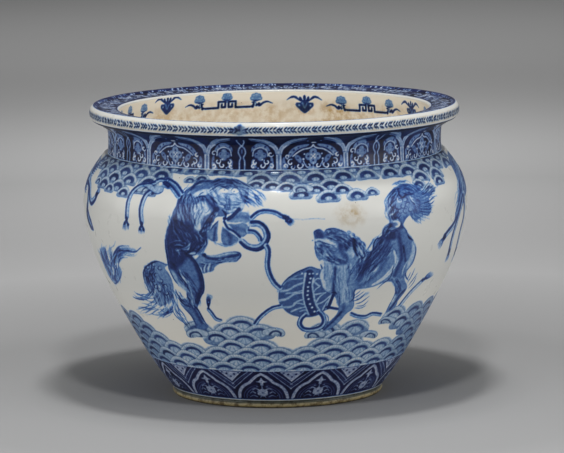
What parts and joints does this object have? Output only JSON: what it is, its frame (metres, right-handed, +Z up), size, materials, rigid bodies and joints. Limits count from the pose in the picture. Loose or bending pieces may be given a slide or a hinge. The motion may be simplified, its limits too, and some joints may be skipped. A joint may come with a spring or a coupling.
{
  "type": "jardiniere",
  "caption": "Wide-mouthed round jardiniere with a swelling body, upright neck, rolled flange rim and low foot ring, in blue and white glazed porcelain.",
  "frame": {"origin": "centre of the foot ring's face on the table", "axes": "+Z up along the turning axis; the pictured side faces -Y"},
  "size_m": [0.422, 0.422, 0.32],
  "materials": {
    "glazed_porcelain": "clear gloss glaze over cobalt painting",
    "biscuit_porcelain": "bare fired edge, matte",
    "luting_slip": "fired slip, hidden between sections"
  },
  "bodies": {
    "root": {"foot_ring": "biscuit_porcelain", "base": "glazed_porcelain", "lower_wall": "glazed_porcelain", "upper_wall": "glazed_porcelain", "neck": "glazed_porcelain", "rim": "glazed_porcelain", "foot_lute": "luting_slip", "base_lute": "luting_slip", "belly_lute": "luting_slip", "shoulder_lute": "luting_slip", "rim_lute": "luting_slip"}
  },
  "joints": []
}
